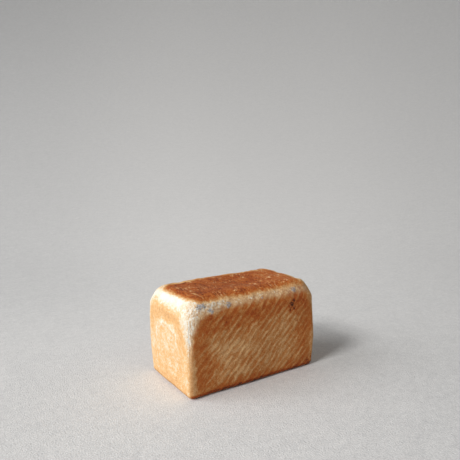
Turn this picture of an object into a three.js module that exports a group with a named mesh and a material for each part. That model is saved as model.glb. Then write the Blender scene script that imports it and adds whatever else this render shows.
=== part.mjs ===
// A tin loaf: one baked piece of bread with a flat foot, walls that lean in towards it, broad round
// shoulders and a sunken lid side. Millimetres, +Z up, +X along the loaf, origin at the middle of
// its foot.
import * as THREE from "three";
import { mergeVertices } from "three/addons/utils/BufferGeometryUtils.js";

// Driving dimensions.
const LENGTH = 186; // end to end, at the shoulder
const WIDTH = 108; // side to side, at the shoulder
const HEIGHT = 113; // foot to the rim of the lid side
const SHOULDER_RADIUS = 22; // round between the walls and the lid side, which the tin never shaped
const FOOT_RADIUS = 6; // round between the walls and the foot
const CORNER_GROWTH = 3; // power by which the upright corners open out from foot to shoulder
const DRAFT = 3.5; // how far each wall leans in at the foot
const WALL_CURVE = 1.7; // power of the wall's lean, 1 for a straight wall
const SAG = 2; // depth of the hollow in the middle of the lid side

// The box that is rounded: its segments along each axis, and the share of each half that stays flat.
const SEGMENTS = new THREE.Vector3(26, 18, 18);
const FLAT = new THREE.Vector3(10 / 13, 6 / 9, 6 / 9);
const BOX_HALF = 1;

const CRUST = { color: "#b5723a", roughness: 0.75, metalness: 0 };

const CORE_TOP = HEIGHT - SHOULDER_RADIUS;

// Splits a box coordinate into its travel along the flat, from -1 to 1, and its turn round the edge.
function split(coordinate, flat) {
  const side = Math.sign(coordinate);
  const size = Math.abs(coordinate);
  const quarterTurn = Math.PI / 4;
  return {
    along: side * Math.min(size / flat, 1),
    turn: (side * quarterTurn * Math.max(size - flat, 0)) / (BOX_HALF - flat),
  };
}

// Carries a point of the box onto the loaf: a point of the core, plus the radius in the direction
// that the three turns give. The radius grows from the foot to the shoulder.
function roundOff(box) {
  const [x, y, z] = ["x", "y", "z"].map((axis) => split(box[axis], FLAT[axis]));
  const rise = (box.z + BOX_HALF) / 2;
  const radius = FOOT_RADIUS + (SHOULDER_RADIUS - FOOT_RADIUS) * rise ** CORNER_GROWTH;
  const core = new THREE.Vector3(
    x.along * (LENGTH / 2 - radius),
    y.along * (WIDTH / 2 - radius),
    THREE.MathUtils.lerp(FOOT_RADIUS, CORE_TOP, (z.along + 1) / 2),
  );
  const outward = new THREE.Vector3(Math.tan(x.turn), Math.tan(y.turn), Math.tan(z.turn));
  const point = core.addScaledVector(outward.normalize(), radius);
  if (box.z === BOX_HALF) point.z -= SAG * basin(x.along) * basin(y.along);
  return point;
}

// A smooth hollow: 1 in the middle of the flat, 0 and level at its rim.
function basin(along) {
  return (1 - along ** 2) ** 2;
}

// Leans the walls in below the shoulder.
function leanWalls(point) {
  const level = Math.min(point.z / CORE_TOP, 1);
  const inset = DRAFT * (1 - level) ** WALL_CURVE;
  point.x *= 1 - inset / (LENGTH / 2);
  point.y *= 1 - inset / (WIDTH / 2);
  return point;
}

function makeLoafGeometry() {
  const size = 2 * BOX_HALF;
  const box = new THREE.BoxGeometry(size, size, size, SEGMENTS.x, SEGMENTS.y, SEGMENTS.z);
  box.deleteAttribute("normal");
  box.deleteAttribute("uv");
  const loaf = mergeVertices(box);
  const positions = loaf.getAttribute("position");
  for (let i = 0; i < positions.count; i++) {
    const onBox = new THREE.Vector3().fromBufferAttribute(positions, i);
    const onLoaf = leanWalls(roundOff(onBox));
    positions.setXYZ(i, onLoaf.x, onLoaf.y, onLoaf.z);
  }
  loaf.computeVertexNormals();
  return loaf;
}

function makeLoaf() {
  const loaf = new THREE.Mesh(makeLoafGeometry(), new THREE.MeshStandardMaterial(CRUST));
  loaf.name = "loaf";
  return loaf;
}

const tinLoaf = new THREE.Group();
tinLoaf.add(makeLoaf());

export default tinLoaf;
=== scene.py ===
import math

import bpy
import numpy as np
from mathutils import Matrix, Vector


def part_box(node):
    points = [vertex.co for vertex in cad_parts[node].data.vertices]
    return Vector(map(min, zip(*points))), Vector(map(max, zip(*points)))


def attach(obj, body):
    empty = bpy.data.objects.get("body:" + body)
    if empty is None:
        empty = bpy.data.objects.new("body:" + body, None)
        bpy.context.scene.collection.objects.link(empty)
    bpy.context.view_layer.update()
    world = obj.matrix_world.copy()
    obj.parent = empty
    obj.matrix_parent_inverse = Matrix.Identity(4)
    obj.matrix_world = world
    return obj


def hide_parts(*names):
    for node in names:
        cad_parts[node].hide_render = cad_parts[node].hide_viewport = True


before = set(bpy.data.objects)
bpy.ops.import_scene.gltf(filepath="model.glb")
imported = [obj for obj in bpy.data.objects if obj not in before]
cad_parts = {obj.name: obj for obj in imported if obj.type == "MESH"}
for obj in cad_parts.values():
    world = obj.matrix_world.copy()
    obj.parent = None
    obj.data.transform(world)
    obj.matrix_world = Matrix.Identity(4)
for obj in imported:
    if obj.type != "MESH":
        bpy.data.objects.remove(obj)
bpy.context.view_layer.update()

# Shape of the loaf, in millimetres. Its length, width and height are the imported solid's own.
MM = 0.001
LOW, HIGH = np.array(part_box("loaf")) / MM
LENGTH, WIDTH, HEIGHT = HIGH - LOW
SHOULDER_RADIUS = 22.0  # round between the walls and the lid side
FOOT_RADIUS = 6.0  # round between the walls and the foot
CORNER_GROWTH = 3  # power by which the upright corners open out from foot to shoulder
DRAFT = 3.5  # how far each wall leans in at the foot
WALL_CURVE = 1.7  # power of the wall's lean
SAG = 2.0  # depth of the hollow in the middle of the lid side
CORE_TOP = HEIGHT - SHOULDER_RADIUS
SHOULDER_ARC = SHOULDER_RADIUS * math.pi / 2  # from the lid side's rim down to the wall

# The box that is rounded: the share of each half that stays flat, and the cells on each axis as
# low round, flat and high round, about a millimetre each.
FLAT = np.array([10 / 13, 6 / 9, 6 / 9])
CELLS = ((18, 142, 18), (18, 64, 18), (6, 82, 18))

# Streaks that the coiled dough leaves on the long walls.
STREAK_RISE = math.radians(46)
STREAK_GAP = 7.6
# The way its lines run across the lid side, from +X towards +Y.
LID_SKEW = math.radians(92)

# Swirl that the rolled dough leaves on the ends: where its middle is, and its size from there.
SWIRL_HEIGHT = 48
SWIRL_ASIDE = 1.5
SWIRL_SIZE = 28
# As shares of that size: how much it widens in a turn, how far out its outer turn runs, and how
# far apart the turns inside it are.
SWIRL_GROWTH = 0.12
SWIRL_OUTER = 0.97
SWIRL_GAP = 0.36

# Cells left empty round each chart of the flat layout.
CHART_MARGIN = 2


def smooth(low, high, x):
    """0 below low, 1 above high, and the curve 3t^2 - 2t^3 between them. low may be above high."""
    t = np.clip((x - low) / (high - low), 0, 1)
    return t * t * (3 - 2 * t)


def mix(a, b, share):
    """a where share is 0, b where it is 1."""
    return a + (b - a) * share


def swell(place, wavelength, seed, waves=48):
    """Soft lumps about as far apart as wavelength: the sum of cos(k.p + phase) over waves in random
    directions, each k near 2 pi / wavelength long, scaled to spread by 1 round 0."""
    rng = np.random.default_rng(seed)
    way = rng.normal(size=(waves, 3))
    way /= np.linalg.norm(way, axis=1, keepdims=True)
    k = way * (2 * math.pi / (wavelength * rng.uniform(0.75, 1.4, (waves, 1))))
    return np.cos(place @ k.T + rng.uniform(0, 2 * math.pi, waves)).sum(1) * math.sqrt(2 / waves)


def bump_at(place, centre, size):
    """A round bump, exp(-(distance / size)^2), about centre. size is one number, or one an axis."""
    return np.exp(-(((place - np.array(centre)) / np.array(size)) ** 2).sum(1))


# The skin of the loaf --------------------------------------------------------------------------


def stations(cells, flat):
    """Box coordinates from -1 to 1: even steps over each of low round, flat and high round."""
    low, middle, high = cells
    return np.concatenate(
        [
            np.linspace(-1, -flat, low + 1)[:-1],
            np.linspace(-flat, flat, middle + 1),
            np.linspace(flat, 1, high + 1)[1:],
        ]
    )


def box_skin():
    """Six grids on the box from -1 to 1 that share their edges. Returns the points, the quads with
    their faces outwards, and each quad corner's place on a flat chart, in millimetres."""
    rows = [stations(cells, flat) for cells, flat in zip(CELLS, FLAT)]
    count = [len(r) for r in rows]
    skin = np.zeros(count, bool)
    skin[[0, -1]] = skin[:, [0, -1]] = skin[:, :, [0, -1]] = True
    number = np.full(count, -1)
    number[skin] = np.arange(skin.sum())
    box = np.stack([r[i] for r, i in zip(rows, np.nonzero(skin))], 1)
    # Each chart: its axis and end, the axes along its grid, and its low corner on the flat layout.
    charts = (
        (1, 0, (0, 2), (0, 0)),
        (2, -1, (0, 1), (0, 112)),
        (1, -1, (0, 2), (0, 218)),
        (0, 0, (1, 2), (184, 0)),
        (0, -1, (1, 2), (184, 112)),
        (2, 0, (1, 0), (184, 224)),
    )
    quads, places = [], []
    for axis, end, (u, v), corner in charts:
        ids = np.take(number, end, axis)
        if (u, v) == (1, 0):
            ids = ids.T
        cell = [ids[:-1, :-1], ids[1:, :-1], ids[1:, 1:], ids[:-1, 1:]]
        i, j = np.meshgrid(np.arange(ids.shape[0]), np.arange(ids.shape[1]), indexing="ij")
        at = np.stack([i + corner[0], j + corner[1]], -1).astype(float) + CHART_MARGIN
        spot = [at[:-1, :-1], at[1:, :-1], at[1:, 1:], at[:-1, 1:]]
        # u x v points along the axis for these, and against it for the others.
        along = (axis, u, v) in ((0, 1, 2), (2, 0, 1))
        if along != (end == -1):
            cell, spot = cell[::-1], spot[::-1]
        quads.append(np.stack(cell, -1).reshape(-1, 4))
        places.append(np.stack(spot, -2).reshape(-1, 2))
    places = np.concatenate(places)
    return box, np.concatenate(quads), places / (places.max(0) + CHART_MARGIN)


def split(box):
    """A box coordinate's travel along the flat, -1 to 1, and its turn round the edge, up to 45
    degrees."""
    size, side = np.abs(box), np.sign(box)
    travel = side * np.minimum(size / FLAT, 1)
    return travel, side * math.pi / 4 * np.maximum(size - FLAT, 0) / (1 - FLAT)


def corner_radius(box):
    """Radius of the round at a box height: it grows from foot to shoulder as a power of it."""
    return FOOT_RADIUS + (SHOULDER_RADIUS - FOOT_RADIUS) * ((box[:, 2] + 1) / 2) ** CORNER_GROWTH


def body(box):
    """The plain loaf in millimetres: a point of the core, plus the radius in the direction of the
    three turns' tangents; the radius grows from foot to shoulder as the cube of the box's height.
    Walls lean in by DRAFT (1 - z / CORE_TOP)^WALL_CURVE, and the lid side sinks by a smooth basin.
    Returns the points, the travels and the outward directions."""
    travel, turn = split(box)
    radius = corner_radius(box)
    out = np.tan(turn)
    out /= np.linalg.norm(out, axis=1, keepdims=True)
    core = np.stack(
        [
            travel[:, 0] * (LENGTH / 2 - radius),
            travel[:, 1] * (WIDTH / 2 - radius),
            mix(FOOT_RADIUS, CORE_TOP, (travel[:, 2] + 1) / 2),
        ],
        1,
    )
    place = core + out * radius[:, None]
    basin = (1 - travel[:, 0] ** 2) ** 2 * (1 - travel[:, 1] ** 2) ** 2
    place[:, 2] -= SAG * basin * (box[:, 2] == 1)
    inset = DRAFT * (1 - np.clip(place[:, 2] / CORE_TOP, 0, 1)) ** WALL_CURVE
    place[:, 0] *= 1 - inset / (LENGTH / 2)
    place[:, 1] *= 1 - inset / (WIDTH / 2)
    return place, travel, out


def normals(place, quads):
    """Each point's outward normal: the sum of its quads' diagonals' cross products, made unit."""
    cross = np.cross(
        place[quads[:, 2]] - place[quads[:, 0]], place[quads[:, 3]] - place[quads[:, 1]]
    )
    total = np.stack(
        [np.bincount(quads.ravel(), np.repeat(c, 4), len(place)) for c in cross.T], 1
    )
    return total / np.linalg.norm(total, axis=1, keepdims=True)


def regions(box, place, travel, out):
    """Where each point is on the loaf, as shares from 0 to 1 and lengths in millimetres."""
    x, y, z = place.T
    r = {}
    # How far the skin faces away from straight up, in degrees.
    r["from_up"] = np.degrees(np.arccos(np.clip(out[:, 2], -1, 1)))
    on_lid = box[:, 2] == 1
    inward = np.minimum(
        (1 - np.abs(travel[:, 0])) * (LENGTH / 2 - SHOULDER_RADIUS),
        (1 - np.abs(travel[:, 1])) * (WIDTH / 2 - SHOULDER_RADIUS),
    )
    arc = SHOULDER_RADIUS * np.radians(np.minimum(r["from_up"], 90))
    below = np.where(r["from_up"] >= 90 - 1e-3, np.maximum(CORE_TOP - z, 0), 0)
    # How far down from the lid side's rim, negative inside it.
    r["rim"] = np.where(on_lid & (r["from_up"] < 1e-3), -inward, arc + below)
    # Which way the wall faces: 0 degrees on an end, 45 on an upright corner, 90 on a long wall.
    leans_out = np.abs(out[:, :2]).sum(1) > 1e-6
    r["heading"] = np.where(
        leans_out,
        np.degrees(np.arctan2(np.abs(out[:, 1]), np.abs(out[:, 0]) + 1e-12)),
        np.degrees(np.arctan2(np.abs(y) / WIDTH, np.abs(x) / LENGTH + 1e-12)),
    )
    r["end"] = smooth(60, 30, r["heading"])
    r["height"] = z / CORE_TOP
    r["along"] = np.abs(travel[:, 0])
    # Distance round the wall from the middle of the nearest upright corner: towards the long wall
    # it is positive, towards the end negative.
    radius = corner_radius(box)
    r["round"] = (
        radius * np.radians(r["heading"] - 45)
        + (1 - np.abs(travel[:, 0])) * (LENGTH / 2 - radius)
        - (1 - np.abs(travel[:, 1])) * (WIDTH / 2 - radius)
    )
    return r


# Features that each loaf has of its own, as (x, degrees down from the lid side, size), on the near
# long wall's shoulder: papery blisters where the dough lifted from the tin.
BLISTERS = (
    (-76, 52, 4.0),
    (-70, 51, 3.2),
    (-64, 66, 2.6),
    (-61, 73, 2.1),
    (-52, 50, 1.2),
    (-38, 61, 3.6),
    (9, 60, 1.4),
    (57, 54, 3.4),
)
# Scorched specks on the same wall, as x, y, z, size in millimetres and strength.
SCORCHES = (
    (52, -54, 87, 3.2, 1.0),
    (56, -54, 82, 1.8, 0.8),
    (55, -54, 92, 1.4, 0.7),
    (49, -54, 80, 1.3, 0.5),
    (60, -54, 74, 1.4, 0.7),
    (60, -54, 65, 1.6, 0.9),
    (-63, -53, 92, 2.6, 0.22),
    (8, -53, 90, 2.4, 0.16),
    (84, -52, 8, 7.0, 0.35),
)


def shoulder_point(x, down):
    """The point of the near long wall's shoulder at x, down degrees from the lid side."""
    angle = math.radians(down)
    return (
        x,
        -(WIDTH / 2 - SHOULDER_RADIUS + SHOULDER_RADIUS * math.sin(angle)),
        CORE_TOP + SHOULDER_RADIUS * math.cos(angle),
    )


def crust_shares(place, r):
    """Adds to r each kind of crust's share, 0 to 1: brown lid where the dough pressed hard on the
    tin, pale where it never touched, the foot, and the walls that are left."""
    x, y, z = place.T
    long_wall = smooth(45, 80, r["heading"])
    wander, fray = swell(place, 26, 11), swell(place, 9, 12)
    # Degrees down the shoulder at which the lid side's brown gives way: well over the rim on the
    # near sides, a little over it on the +X end, and about at the rim along the far side.
    turned = mix(30 + 3 * long_wall, 8 + 5 * swell(place, 25, 19), smooth(56, 90, x))
    far_side = smooth(0.42, 0.62, y / (WIDTH / 2)) * smooth(-90, -62, x)
    turned = mix(turned, -4 + 6 * swell(place, 21, 18), far_side)
    loose = np.maximum(far_side, smooth(45, 85, x))
    turned += mix(2, 6, loose) * wander + mix(mix(0.6, 1.5, long_wall), 4, loose) * fray
    edge = SHOULDER_RADIUS * np.radians(turned)
    sideways = np.maximum(long_wall, smooth(52, 88, x))
    soft = mix(mix(4.4, mix(5.2, 7.0, smooth(30, 88, x)), sideways), 11, far_side)
    near_corner = smooth(46, 18, np.hypot(np.abs(x) - LENGTH / 2, np.abs(y) - WIDTH / 2))
    lid = smooth(edge + soft, edge - soft, r["rim"] + mix(1, 8, loose) * near_corner)
    # Pale band down the rest of the shoulder: it reaches further down at the -X end of the long
    # walls, and is thinner from their middle on.
    wander, fray = swell(place, 30, 13), swell(place, 7, 14)
    stop = mix(65, 63 + 13 * smooth(-42, -74, x), long_wall) + mix(1.2, 2.5, long_wall) * wander
    stop += mix(0.5, 2.0, long_wall) * fray
    edge = SHOULDER_RADIUS * np.radians(stop)
    soft = mix(5.0, 4.5 + 2.0 * smooth(-48, -62, x), long_wall)
    band = smooth(edge + soft, edge - soft, r["rim"]) * (1 - lid)
    thin = long_wall * smooth(-70, -5, x)
    band *= np.clip(1 - 0.36 * thin + 0.13 * swell(place, 13, 17) * long_wall, 0, 1)
    # Upright corners stay pale down to about half way, narrowing as they go.
    high = z + 2.5 * swell(place, 30, 15)
    half = 2.2 + 1.3 * smooth(48, 70, high) + 10 * smooth(72, 94, high) + 0.5 * swell(place, 10, 16)
    soft = np.where(r["round"] < 0, 6.0, 3.6 + 2.0 * smooth(70, 90, z))
    corner = smooth(half + soft, half - soft, np.abs(r["round"])) * smooth(30, 66, high)
    corner *= smooth(SHOULDER_ARC * 0.55, SHOULDER_ARC * 0.75, r["rim"]) * (1 - lid)
    pale = np.maximum(band, 0.88 * corner)
    foot = smooth(-0.35, -0.85, np.cos(np.radians(r["from_up"])))
    wall = (1 - lid) * (1 - pale) * (1 - foot)
    streaked = wall * smooth(25, 75, r["heading"]) * mix(1, 0.35, smooth(66, 86, np.abs(x)))
    # Pale skin is dull below the rim's crest on the long walls, and at the near left corner.
    dull = band * smooth(45, 80, r["heading"]) * smooth(38, 52, r["from_up"])
    near_left = smooth(30, -30, x) * smooth(10, -10, y)
    lifted = np.maximum(0.34 * dull, 0.45 * corner * smooth(-4, 3, r["round"]) * near_left)
    r.update(lid=lid, band=band, pale=pale, foot=foot, wall=wall, streaked=streaked)
    r.update(lifted=lifted, pale_edge=half)


def swirl(place, r):
    """Cream line of the rolled dough on each end: a spiral whose distance from the middle,
    (|y|^3 + |z|^3)^(1/3), grows with the angle. Returns the line's share, that distance as a share
    of SWIRL_SIZE, and flow coordinates: the distance, and the angle as a small circle, in
    millimetres."""
    x, y, z = place.T
    side = np.sign(x)
    across, up = y - SWIRL_ASIDE * side, z - SWIRL_HEIGHT
    far = (np.abs(across / SWIRL_SIZE) ** 3 + np.abs(up / SWIRL_SIZE) ** 3) ** (1 / 3)
    angle = np.arctan2(up, across * side)
    far = far + 0.035 * swell(place, 16, 21) + 0.02 * swell(place, 6, 22)
    rolled = far - SWIRL_GROWTH * angle / (2 * math.pi)
    # The outer turn is broad and bright over the top, and the turns inside it are faint.
    top = smooth(0.15, 0.55, np.sin(angle))
    outer = np.exp(-(((rolled - SWIRL_OUTER) / mix(0.07, 0.10, top)) ** 2))
    inner = np.exp(-(((rolled % SWIRL_GAP - SWIRL_GAP / 2) / 0.05) ** 2)) * smooth(0.9, 0.6, far)
    strength = mix(0.3, 1.25, top)
    fade = smooth(-0.9, 0.7, swell(place, 13, 23))
    line = outer * strength * mix(0.9, 1.0, fade) + 0.38 * inner * fade
    below_shoulder = smooth(SHOULDER_ARC - 4, SHOULDER_ARC + 4, r["rim"])
    line = line * smooth(25, 8, r["heading"]) * below_shoulder
    circle = 8
    flow = np.stack([SWIRL_SIZE * far, circle * np.cos(angle), circle * np.sin(angle)], 1)
    return line, far, flow


def dough_lines(place, r):
    """Coordinates that follow the coiled dough's lines: across them, along them, and a number that
    keeps the sides apart. They slant up the long walls and cross the lid side on the skew."""
    x, y, z = place.T
    side = np.sign(y)
    rightward = -side * x
    rise, run = math.sin(STREAK_RISE), math.cos(STREAK_RISE)
    wall = np.stack([z * run - rightward * rise, z * rise + rightward * run, 40 * side], 1)
    rise, run = math.sin(LID_SKEW), math.cos(LID_SKEW)
    lid = np.stack([x * rise - y * run, x * run + y * rise, 0 * x + 150], 1)
    lines = np.where(r["from_up"][:, None] < 50, lid, wall)
    bend = np.where(r["from_up"] < 50, 4.2, 0.5) * swell(place, 38, 31)
    lines[:, 0] += bend + 0.18 * swell(place, 13, 32)
    return lines


def ring_lines(place, r, out):
    """Coordinates of the outline that a point stands over, and its way down the skin. Lines of even
    outline run down the shoulder, so a pattern stretched along them makes wrinkles."""
    ring = place[:, :2] + out[:, :2] * (1 - np.abs(out[:, 2:3])) * 6
    return np.stack([ring[:, 0], ring[:, 1], r["rim"] * 0.22], 1)


def skin_height(place, r, ring, streak, flow, line):
    """How far the skin stands over the plain loaf, in millimetres: soft lumps, shoulder wrinkles,
    the ridges of the streaks and the swirl, blisters and pits. Returns it with the shares of
    blistered and of scorched skin."""
    lid, band, pale, wall = r["lid"], r["band"], r["pale"], r["wall"]
    lump = 0.28 * swell(place, 62, 510) + 0.07 * swell(place, 24, 2)
    height = lump * mix(1, 0.4, r["foot"]) + 0.3 * bump_at(place, (80, -8, 110), (14, 22, 14))
    height -= 0.6 * bump_at(place, (84, -36, 106), (18, 22, 16))
    height += band * (0.20 * swell(place, 20, 3) + 0.12 * swell(place, 8.5, 4))
    height += band * 0.08 * swell(ring, 4.2, 5)
    height += (pale - band) * (0.13 * swell(place, 14, 6) + 0.06 * swell(ring, 4.5, 7))
    height += lid * (
        0.12 * swell(place, 17, 8) + 0.07 * swell(place, 5, 9) + 0.06 * swell(flow, 3.5, 26)
    )
    height += wall * (0.06 * swell(place, 9, 10) + 0.03 * swell(place, 4, 24))
    ridge = 0.5 + 0.5 * np.cos(streak[:, 0] * 2 * math.pi / STREAK_GAP)
    height += r["streaked"] * 0.16 * (ridge - 0.5)
    height += 0.32 * line
    # The rim stands a little proud, in small lumps, where the dough met the lid.
    crest = smooth(-6, 0, r["rim"]) * smooth(20, 10, r["rim"])
    height += crest * (0.09 * swell(place, 13, 25) + 0.07 * swell(place, 5.5, 27))
    # Each blister has a dent just below it.
    blister = np.zeros(len(place))
    for along, down, size in BLISTERS:
        spot = bump_at(place, shoulder_point(along, down), size)
        dent = bump_at(place, shoulder_point(along + size * 0.8, down + 9), size * 0.8)
        blister = np.maximum(blister, spot)
        height += 0.45 * spot - 0.35 * dent
    scorched = sum(strength * bump_at(place, at, size) for *at, size, strength in SCORCHES)
    return height - 0.25 * scorched, blister, scorched


def bake_level(place, plain, r, line, far):
    """How far the crust baked at each point, 0 cream to 1 burnt. place is the finished skin, and
    plain the same points on the plain loaf; line and far are the swirl's."""
    x, y, z = plain.T
    # The long walls brown towards the corners and the shoulder, and darken towards the foot, partly
    # real browning and partly painted contact shadow.
    browning_and_foot_shade = (
        smooth(0.50, 1.05, r["along"]),
        smooth(0.62, 1.00, r["height"]),
        # Towards the foot: partly browning and partly painted contact shadow.
        0.95 * smooth(0.24, 0.0, r["height"]),
    )
    edge = np.maximum.reduce(browning_and_foot_shade)
    drift = 0.6 * swell(place, 46, 41)
    side_bake = 0.375 + 0.22 * edge + 0.035 * drift + 0.025 * swell(place, 15, 42)
    side_bake += 0.05 * smooth(35, 85, x) * smooth(0.45, 0.95, r["height"])
    side_bake += 0.16 * bump_at(place, (90, -50, 4), (26, 40, 22))
    # Orange where the end first touched the tin: an arch just below and beside the pale edge.
    arch = np.maximum(
        np.exp(-(((r["rim"] - SHOULDER_ARC - 2) / 10) ** 2)),
        np.exp(-(((r["round"] + r["pale_edge"] + 9) / 5.5) ** 2)) * smooth(46, 76, z),
    )
    arch *= 0.85 + 0.25 * swell(place, 13, 45)
    low = smooth(0.20, 0.02, r["height"])
    end_bake = 0.160 + 0.08 * smooth(0, 20, x) + np.maximum(0.15 * arch, 0.13 * low) + 0.015 * drift
    end_bake += 0.08 * smooth(0.3, 1.6, swell(place, 12, 46)) - 0.02 * smooth(1.0, 0.5, far)
    baked = mix(side_bake, np.minimum(end_bake, 0.305), r["end"])
    # Below the pale corners a tan strip reaches a little way along the long walls.
    strip = smooth(-2.5, 1.0, r["round"]) * smooth(9.5, 6.0, r["round"] + 0.7 * swell(place, 9, 47))
    baked = mix(baked, 0.315 + 0.10 * low, 0.9 * strip * smooth(62, 40, z))
    # The swirl's line is cream on the near end, and browner and fainter on the far one.
    far_end = smooth(-20, 20, x)
    baked = mix(baked, 0.18 * far_end, mix(0.95, 0.6, far_end) * np.clip(line, 0, 1))
    # The foot bakes evenly, inside an edge that is darker below the long walls: partly dark brown
    # crust and partly painted contact shadow.
    facing = np.cos(np.radians(r["from_up"]))
    under = 0.56 + 0.04 * swell(place, 15, 48)
    # Below the long walls the edge's 0.80 is partly dark crust and partly painted contact shadow; on
    # the ends it is crust only.
    foot_bake_and_contact_shade = mix(mix(0.80, 0.52, r["end"]), under, smooth(-0.75, -0.97, facing))
    baked = mix(baked, foot_bake_and_contact_shade + 0.05 * drift, smooth(0.10, -0.30, facing))
    # Pale skin is browner round the corners, towards +X and along the far side.
    pale_bake = 0.030 + 0.085 * smooth(15, 58, r["heading"]) + 0.10 * smooth(45, 85, r["heading"])
    pale_bake += 0.24 * smooth(35, 80, x)
    pale_bake += 0.12 * smooth(0.3, 0.7, y / (WIDTH / 2)) * smooth(60, 20, r["from_up"])
    pale_bake += 0.02 * swell(place, 18, 43)
    baked = mix(baked, pale_bake, r["pale"])
    lid_bake = 0.793 + 0.025 * swell(place, 22, 44) + 0.03 * drift - 0.11 * smooth(10, 80, x)
    return mix(baked, lid_bake, r["lid"])


def make_loaf():
    """The whole skin: the plain loaf pushed in and out along its normals, with the shares and the
    coordinates that its crust reads."""
    box, quads, charts = box_skin()
    plain, travel, out = body(box)
    r = regions(box, plain, travel, out)
    crust_shares(plain, r)
    ring, streak = ring_lines(plain, r, out), dough_lines(plain, r)
    line, far, rolled = swirl(plain, r)
    # Dashes run along the dough's lines, and round the swirl on the ends.
    flow = np.where((r["end"] * (1 - r["lid"]) > 0.5)[:, None], rolled, streak * (1, 0.13, 1))
    height, blister, scorched = skin_height(plain, r, ring, streak, flow, line)

    # The foot stays flat to stand on: nothing goes below it.
    place = plain + normals(plain, quads) * height[:, None]
    place[:, 2] = np.maximum(place[:, 2], 0)

    shares = {
        "baked": bake_level(place, plain, r, line, far),
        "lid_share": r["lid"],
        "pale_share": r["pale"],
        "wall_share": r["wall"],
        "end_share": r["end"] * r["wall"],
        "lifted": r["lifted"],
        "blister": blister,
        "scorched": scorched,
        "streak_share": r["streaked"],
    }
    return place * MM, quads, charts, shares, {"ring": ring, "streak": streak, "flow": flow}


def add_object(name, data):
    """Puts a new object that holds the data in the scene."""
    thing = bpy.data.objects.new(name, data)
    bpy.context.scene.collection.objects.link(thing)
    return thing


def make_mesh(name, place, quads, charts, shares, vectors):
    """A smooth mesh object from whole arrays, with its shares and vectors as point attributes."""
    mesh = bpy.data.meshes.new(name)
    mesh.vertices.add(len(place))
    mesh.vertices.foreach_set("co", place.astype(np.float32).ravel())
    mesh.loops.add(quads.size)
    mesh.loops.foreach_set("vertex_index", quads.astype(np.int32).ravel())
    mesh.polygons.add(len(quads))
    mesh.polygons.foreach_set("loop_start", np.arange(0, quads.size, 4, dtype=np.int32))
    mesh.polygons.foreach_set("use_smooth", np.ones(len(quads), bool))
    mesh.update(calc_edges=True)
    mesh.uv_layers.new(name="OFBake").uv.foreach_set("vector", charts.astype(np.float32).ravel())
    for key, values in shares.items():
        values = np.clip(values, 0, 1).astype(np.float32)
        mesh.attributes.new(key, "FLOAT", "POINT").data.foreach_set("value", values)
    for key, values in vectors.items():
        values = values.astype(np.float32).ravel()
        mesh.attributes.new(key, "FLOAT_VECTOR", "POINT").data.foreach_set("vector", values)
    mesh.validate()
    return add_object(name, mesh)


# Materials -------------------------------------------------------------------------------------


class Flow:
    """What runs out of one socket. Sums written on it add Math nodes to its recipe."""

    def __init__(self, recipe, socket):
        self.recipe, self.socket = recipe, socket

    def __add__(self, other):
        return self.recipe.maths("ADD", self, other)

    def __sub__(self, other):
        return self.recipe.maths("SUBTRACT", self, other)

    def __rsub__(self, other):
        return self.recipe.maths("SUBTRACT", other, self)

    def __mul__(self, other):
        return self.recipe.maths("MULTIPLY", self, other)

    def __truediv__(self, other):
        return self.recipe.maths("DIVIDE", self, other)

    def __rtruediv__(self, other):
        return self.recipe.maths("DIVIDE", other, self)

    __radd__, __rmul__ = __add__, __mul__


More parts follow.
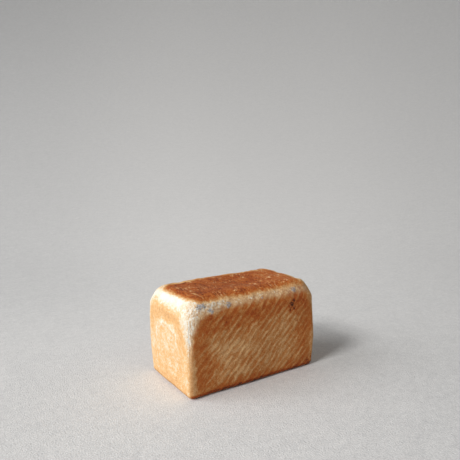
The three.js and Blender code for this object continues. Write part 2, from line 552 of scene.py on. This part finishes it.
class Recipe:
    """A material's nodes, written as sums of flows."""

    def __init__(self, name):
        self.material = bpy.data.materials.new(name)
        self.material.use_nodes = True
        self.tree = self.material.node_tree
        self.tree.nodes.clear()

    def node(self, kind, settings=None, sockets=None, out=0):
        """Adds a node of that kind, sets its settings, then its sockets' values or links, and
        returns one of its outputs."""
        node = self.tree.nodes.new("ShaderNode" + kind)
        for key, value in (settings or {}).items():
            setattr(node, key, value)
        for key, value in (sockets or {}).items():
            found = [s for s in node.inputs if key in (s.identifier, s.name) and s.enabled]
            socket = node.inputs[key] if isinstance(key, int) else found[0]
            if isinstance(value, Flow):
                self.tree.links.new(value.socket, socket)
            else:
                socket.default_value = value
        found = [s for s in node.outputs if s.enabled]
        return Flow(self, node.outputs[out] if isinstance(out, str) else found[out])

    def maths(self, operation, *values):
        """One Math node's sum of those values."""
        return self.node("Math", {"operation": operation}, dict(enumerate(values)))

    def most(self, a, b):
        return self.maths("MAXIMUM", a, b)

    def ease(self, value, low, high, to_low=0.0, to_high=1.0):
        """Carries value from low..high to to_low..to_high on a smooth curve, clamped at the ends."""
        reach = {"From Min": low, "From Max": high, "To Min": to_low, "To Max": to_high}
        settings = {"interpolation_type": "SMOOTHSTEP"}
        return self.node("MapRange", settings, {"Value": value, **reach})

    def share(self, name):
        """A number that the mesh holds at each point."""
        return self.node("Attribute", {"attribute_name": name}, out="Fac")

    def vector(self, name):
        """Coordinates that the mesh holds at each point."""
        return self.node("Attribute", {"attribute_name": name}, out="Vector")

    def stretch(self, vector, by):
        """The vector with each of its numbers multiplied by its own factor."""
        return self.node("VectorMath", {"operation": "MULTIPLY"}, {0: vector, 1: by})

    def noise(self, vector, size, detail=2.0, rough=0.5, warp=0.0):
        """Cloudy noise from about 0.3 to 0.7, in patches about size across in the vector's units."""
        sockets = {"Vector": vector, "Scale": 1 / size, "Detail": detail, "Roughness": rough}
        return self.node("TexNoise", {}, {**sockets, "Distortion": warp}, out="Fac")

    def cells(self, vector, size):
        """Distance from the middle of the nearest of many random cells, size across."""
        sockets = {"Vector": vector, "Scale": 1 / size}
        return self.node("TexVoronoi", {"feature": "F1"}, sockets, out="Distance")

    def blend(self, a, b, share):
        """Colour a where share is 0 and colour b where it is 1."""
        a, b = (colour if isinstance(colour, Flow) else (*colour, 1) for colour in (a, b))
        settings = {"data_type": "RGBA", "blend_type": "MIX", "clamp_factor": True}
        return self.node("Mix", settings, {"Factor_Float": share, "A_Color": a, "B_Color": b})

    def ramp(self, stops, value):
        """The colour at value between stops, each a place from 0 to 1 and a colour."""
        colour = self.node("ValToRGB", {}, {0: value})
        elements = colour.socket.node.color_ramp.elements
        while len(elements) < len(stops):
            elements.new(0.5)
        for element, (at, shade) in zip(elements, stops):
            element.position, element.color = at, (*shade, 1)
        return colour

    def finish(self, sockets):
        """Joins the shader to the material's output, and returns the material."""
        shader = self.node("BsdfPrincipled", {}, sockets)
        output = self.tree.nodes.new("ShaderNodeOutputMaterial")
        self.tree.links.new(shader.socket, output.inputs["Surface"])
        return self.material


# Crust colours in the order that they bake, each with its level.
BAKES = (
    (0.0, (0.82, 0.785, 0.71)),  # white cream
    (0.06, (0.77, 0.665, 0.50)),  # cream
    (0.13, (0.73, 0.575, 0.39)),  # beige
    (0.21, (0.73, 0.51, 0.28)),  # pale gold
    (0.28, (0.75, 0.43, 0.18)),  # orange gold
    (0.37, (0.60, 0.355, 0.17)),  # gold
    (0.50, (0.50, 0.232, 0.080)),  # amber
    (0.64, (0.43, 0.138, 0.031)),  # chestnut
    (0.78, (0.375, 0.079, 0.015)),  # red-brown
    (0.90, (0.20, 0.043, 0.012)),  # dark brown
    (1.0, (0.07, 0.028, 0.016)),  # burnt
)
# Skin that dried dull and papery, and blistered skin, dark and pale.
PAPER_GREY = (0.57, 0.505, 0.415)
SLATE = (0.12, 0.118, 0.135)
PALE_SLATE = (0.49, 0.49, 0.52)


def crust():
    """Bread crust: a bake level from the mesh, moved up and down by mottling, streaks, fibres and
    specks, then read on a ramp from cream to burnt, with pores and fine wrinkles in the bump."""
    c = Recipe("bread_crust")
    mm = c.stretch(c.node("TexCoord", out="Object"), (1000, 1000, 1000))
    lid, pale, wall = c.share("lid_share"), c.share("pale_share"), c.share("wall_share")
    end, streak_share = c.share("end_share"), c.share("streak_share")
    baked, lifted = c.share("baked"), c.share("lifted")
    ring, streak, flow = c.vector("ring"), c.vector("streak"), c.vector("flow")

    cloud = c.noise(mm, 11, 3, 0.55) - 0.5
    mottle = c.noise(mm, 3.6, 3, 0.6, 0.4) - 0.5
    grain = c.noise(mm, 1.3, 2, 0.6) - 0.5
    dashes = c.noise(flow, 2.3, 3, 0.6, 0.4)

    # Lid side: dark clouds, and short pale dashes where the skin stretched over bubbles.
    short = c.noise(c.stretch(flow, (1, 1.7, 1)), 1.9, 2, 0.5, 1.2)
    dash = c.ease(short, 0.57, 0.64) * c.ease(c.noise(mm, 16, 2), 0.40, 0.60) * 0.48
    lid_part = lid * (cloud * 0.24 + mottle * 0.38 + grain * 1.1 - (dashes - 0.5) * 0.45 - dash)

    # Long walls: slanting pale streaks, broken along their length, with fine fibres across them.
    crosswise = c.node("SeparateXYZ", {}, {0: streak}, out="X")
    ridge = c.maths("COSINE", crosswise * (2 * math.pi / STREAK_GAP))
    broken = c.noise(c.stretch(streak, (1, 0.24, 1)), 2.6, 3, 0.6)
    fibres = c.noise(c.stretch(streak, (0.45, 1.3, 1)), 1.7, 2, 0.6) - 0.5
    fine = c.noise(c.stretch(streak, (1, 0.20, 1)), 2.3, 2, 0.5) - 0.5
    line = c.ease(ridge * 0.28 + (broken - 0.5) * 2.6 + fine * 1.3, -0.5, 0.95)
    streak_part = streak_share * (line * -0.25 + 0.115 + fibres * 0.25)
    wall_part = wall * (cloud * 0.14 + mottle * 0.30 + grain * 0.46)
    # The foot is what the other shares leave.
    foot_part = (1 - lid - pale - wall) * (cloud * 0.24 + mottle * 0.30 + grain * 0.46)
    end_part = end * ((dashes - 0.5) * 0.50 + mottle * 0.18 + grain * 0.14)

    # Shoulder and corners: fibrous skin, stretched down from the rim, with thin curls.
    fibre = c.noise(ring, 2.0, 3, 0.62, 0.3) - 0.5
    tuft = c.noise(mm, 4.5, 3, 0.65, 0.8)
    rough = c.ease(baked, 0.03, 0.15, 0.12, 1.0)
    rough = rough - c.ease(baked, 0.16, 0.28, 0, 0.45) * (1 - lifted * 2.2)
    strong = lifted * 2.4 + 1.0
    curl = c.noise(c.stretch(ring, (1, 1, 0.7)), 3.4, 1, 0.4, 0.9) - 0.5
    wisp = c.ease(c.maths("ABSOLUTE", curl), 0.045, 0.005) * rough * pale
    pale_part = pale * rough * strong * (1.15 - pale * 0.5) * (
        fibre * 1.8 + c.ease(tuft, 0.46, 0.66) * 0.28 - 0.07 + grain * 0.9
    ) - wisp * strong * 0.16

    # Pores: small dark holes here and there.
    cell = c.cells(mm, 2.6)
    holes = c.ease(cell, 0.20, 0.08) * c.ease(c.noise(mm, 7, 2), 0.52, 0.62)

    level = baked + lid_part + streak_part + wall_part + foot_part + end_part + pale_part
    level = level + holes * 0.12
    level = level + c.share("scorched") * (0.50 + mottle * 3.2 + grain * 2.4)
    # What would bake past orange gold on the ends is held back by nearly half.
    level = level - end * c.most(level - 0.29, 0) * 0.45
    colour = c.ramp(BAKES, level)
    colour = c.blend(colour, PAPER_GREY, lifted * (0.85 + fibre * 2.0 + grain))
    skin = c.ease(c.share("blister") * (1 + mottle * 4.0 + grain * 4.5), 0.26, 0.62)
    slate = c.blend(SLATE, PALE_SLATE, c.ease(grain * 1.6 + mottle * 1.5, -0.06, 0.20))
    colour = c.blend(colour, slate, skin * 0.85)

    height = (
        grain * 0.12
        + mottle * 0.18
        + pale * rough * fibre * 1.0
        + wisp * 0.2
        + (lid * 1.2 + end * 0.5) * (dashes - 0.5) * 0.24
        + streak_share * (line * 0.12 + fibres * 0.08)
        - holes * 0.22
    )
    normal = c.node("Bump", {}, {"Strength": 1.0, "Distance": 0.001, "Height": height})
    roughness = 0.78 - lid * 0.14 - wall * 0.08 + grain * 0.2 + pale * 0.08
    return c.finish(
        {
            "Base Color": colour,
            "Roughness": roughness,
            "Specular IOR Level": 0.12,
            "Normal": normal,
        }
    )


# Backdrop paper: the deep and pale grey that its painted light and shade blend between. Painted
# light makes it paler the way to the back, and painted shade makes it deeper to both sides of that,
# the way across.
PAINTED_SHADE_GREY, PAINTED_LIGHT_GREY = (0.392, 0.399, 0.409), (0.90, 0.893, 0.885)
TO_THE_BACK, ACROSS = (0.54, 0.84, 0), (0.84, -0.54, 0)


def floor_paint():
    """Matt pale grey backdrop paper with a fine tooth, and painted light and shade: paler towards
    the back, greyer up the sweep and to the sides, with a painted pool of light round the loaf."""
    f = Recipe("floor_paint")
    place = f.node("TexCoord", out="Object")
    tooth = f.noise(place, 0.0018, 2, 0.7) - 0.5
    depth = f.node("VectorMath", {"operation": "DOT_PRODUCT"}, {0: place, 1: TO_THE_BACK}, "Value")
    height = f.node("SeparateXYZ", {}, {0: place}, "Z")
    across = f.node("VectorMath", {"operation": "DOT_PRODUCT"}, {0: place, 1: ACROSS}, "Value")
    aside = across / f.most(depth + 0.62, 0.6)
    # Painted light and shade: paler to the back, greyer up the sweep and to the sides, and a painted
    # pool of light round the loaf.
    shade = f.ease(depth, -0.5, 1.1, 0.40, 0.60) - f.ease(height, 0.3, 2.5, 0, 0.07)
    # Painted shade to both sides, the way across.
    sides = f.ease(aside, -0.05, -0.5, 0, 0.26) + f.ease(aside, 0.15, 0.5, 0, 0.12)
    # A painted pool of light on the floor near the loaf's -X end.
    painted_light_pool = f.node("VectorMath", {"operation": "DISTANCE"}, {0: place, 1: (-0.22, 0.05, 0)}, "Value")
    shade = shade - sides * f.ease(depth, 0.0, 0.7, 0.45, 1.0) + f.ease(painted_light_pool, 0.5, 0.1, 0, 0.10)
    # The paper's tooth, and faint clouds in it.
    shade = shade + tooth * 0.8 + (f.noise(place, 0.007, 2, 0.6) - 0.5) * 0.35
    shade = shade + (f.noise(place, 0.03, 3, 0.7) - 0.5) * 0.2
    # The painted light and shade, with the paper's tooth, blend the two greys.
    colour = f.blend(PAINTED_SHADE_GREY, PAINTED_LIGHT_GREY, shade)
    normal = f.node("Bump", {}, {"Strength": 0.7, "Distance": 0.001, "Height": tooth})
    return f.finish(
        {"Base Color": colour, "Roughness": 0.9, "Specular IOR Level": 0.2, "Normal": normal}
    )


# Build -----------------------------------------------------------------------------------------

loaf = make_mesh("loaf_crust", *make_loaf())
loaf.data.materials.append(crust())
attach(loaf, "root")
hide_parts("loaf")


def sweep(inner=(0.3, 0.6), radius=0.9, bend=7.0, top=60, rings=40, turns=96):
    """The floor and the round backdrop as one surface turned about Z: flat in rings out to
    radius, then an arc of radius bend that turns up by top degrees."""
    angle = np.linspace(0, math.radians(top), rings)
    across = np.concatenate([inner, radius + bend * np.sin(angle)])
    up = np.concatenate([np.zeros(len(inner)), bend * (1 - np.cos(angle))])
    around = np.linspace(0, 2 * math.pi, turns, endpoint=False)
    ring = np.stack([np.cos(around), np.sin(around)], 1)
    place = np.concatenate(
        [across[:, None, None] * ring, np.broadcast_to(up[:, None, None], (len(up), turns, 1))], 2
    ).reshape(-1, 3)
    i, j = np.meshgrid(np.arange(len(up) - 1), np.arange(turns), indexing="ij")
    k = (j + 1) % turns
    quads = np.stack([i * turns + j, (i + 1) * turns + j, (i + 1) * turns + k, i * turns + k], -1)
    mesh = bpy.data.meshes.new("floor")
    faces = [list(range(turns))] + quads.reshape(-1, 4).tolist()
    mesh.from_pydata(place.tolist(), [], faces)
    mesh.polygons.foreach_set("use_smooth", np.ones(len(faces), bool))
    return add_object("floor", mesh)


floor = sweep()
floor.data.materials.append(floor_paint())


LOAF_MIDDLE = Vector((0, 0, 0.06))
LIGHT_DISTANCE = 6.5
WARM_WHITE = (1.0, 0.985, 0.96)


def soft_light(name, toward, size, power, colour):
    """A square soft light that hangs in that direction from the loaf and faces it."""
    data = bpy.data.lights.new(name, "AREA")
    data.size, data.energy, data.color = size, power, colour
    lamp = add_object(name, data)
    way = Vector(toward).normalized()
    lamp.location = LOAF_MIDDLE + way * LIGHT_DISTANCE
    lamp.rotation_mode = "QUATERNION"
    lamp.rotation_quaternion = way.to_track_quat("Z", "Y")
    lamp.visible_camera = False


soft_light("window", (-0.95, -0.20, 0.76), 1.7, 286, WARM_WHITE)
soft_light("far_window", (-0.91, 0.41, 0.70), 3.9, 215, (1.0, 0.99, 0.98))

world = bpy.data.worlds.new("studio")
world.use_nodes = True
background = world.node_tree.nodes["Background"].inputs
background["Color"].default_value = (*WARM_WHITE, 1)
background["Strength"].default_value = 0.25
scene = bpy.context.scene
scene.world = world
scene.view_settings.view_transform = "Standard"
scene.view_settings.look = "None"

# Camera: a slight look down on the near corner, from the -X end of the near long wall.
CAMERA_AT = (-0.3285, -0.5053, 0.2630)
CAMERA_BACK = (-0.53696, -0.83179, 0.14070)
CAMERA_UP = (0.08669, 0.11149, 0.98998)
CAMERA_LENS, CAMERA_SENSOR = 38.67, 36

lens = bpy.data.cameras.new("camera")
lens.lens, lens.sensor_width = CAMERA_LENS, CAMERA_SENSOR
camera = add_object("camera", lens)
back, up = Vector(CAMERA_BACK).normalized(), Vector(CAMERA_UP)
right = up.cross(back).normalized()
turn = Matrix((right, back.cross(right), back)).transposed()
camera.matrix_world = Matrix.Translation(CAMERA_AT) @ turn.to_4x4()
scene.camera = camera
